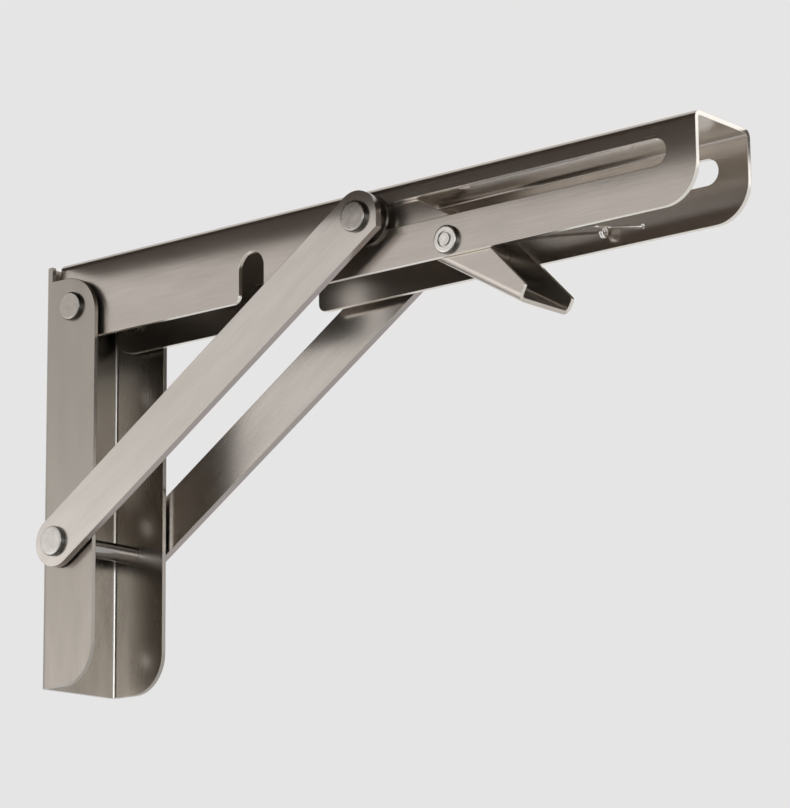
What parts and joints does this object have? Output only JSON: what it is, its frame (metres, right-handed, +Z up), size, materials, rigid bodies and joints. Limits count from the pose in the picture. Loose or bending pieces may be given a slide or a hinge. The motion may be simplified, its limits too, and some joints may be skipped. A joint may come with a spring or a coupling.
{
  "type": "folding shelf bracket",
  "caption": "Folding wall bracket: a channel leg, a channel arm that folds down into it, two sliding struts and a sprung release lever.",
  "frame": {"origin": "centre of the wall screw holes, on the wall face of the leg", "axes": "+X away from the wall along the open arm, +Y along the wall, +Z up"},
  "size_m": [0.3, 0.0516, 0.1639],
  "materials": {
    "leg_sheet": "brushed, satin",
    "arm_sheet": "brushed, satin",
    "strut_bar": "brushed along its length, satin",
    "rivet": "turned, satin",
    "washer": "plain, satin",
    "spacer": "plain, satin",
    "lever_sheet": "brushed, satin",
    "spring_wire": "drawn, bright"
  },
  "bodies": {
    "leg": {"wall_leg": "leg_sheet", "arm_rivet_left": "rivet", "arm_rivet_right": "rivet", "arm_washer_left": "washer", "arm_washer_right": "washer", "foot_pin": "rivet", "foot_spacer": "spacer", "foot_washer_left": "washer", "foot_washer_right": "washer"},
    "arm": {"shelf_arm": "arm_sheet", "lever_rivet": "rivet", "lever_spacer": "spacer", "lever_spring": "spring_wire"},
    "struts": {"strut_left": "strut_bar", "strut_right": "strut_bar", "strut_rivet_left": "rivet", "strut_rivet_right": "rivet"},
    "slide_pin": {"slide_stud_left": "washer", "slide_stud_right": "washer", "slide_washer_left": "washer", "slide_washer_right": "washer"},
    "lever": {"release_lever": "lever_sheet"}
  },
  "joints": [
    {"name": "arm_fold", "type": "hinge", "parent": "leg", "child": "arm", "pos_m": [0.015, 0, 0.077], "axis": [0, 1, 0], "range_deg": [0, 90]},
    {"name": "strut_swing", "type": "hinge", "parent": "leg", "child": "struts", "pos_m": [0.0108, 0, -0.0137], "axis": [0, 1, 0], "range_deg": [0, 119.68]},
    {"name": "pin_slide", "type": "slide", "parent": "arm", "child": "slide_pin", "axis": [1, 0, 0], "range_m": [0, 0.12376]},
    {"name": "lever_release", "type": "hinge", "parent": "arm", "child": "lever", "pos_m": [0.19515, 0, 0.0705], "axis": [0, -1, 0], "range_deg": [0, 34], "stiffness_Nm_per_rad": 0.06, "springref_deg": -22.92, "deforming": ["lever_spring"]}
  ],
  "couplings": [
    {"joint": "strut_swing", "follows": "arm_fold", "ratio": 1.3297},
    {"joint": "pin_slide", "follows": "arm_fold", "m_per_rad": 0.078779}
  ]
}
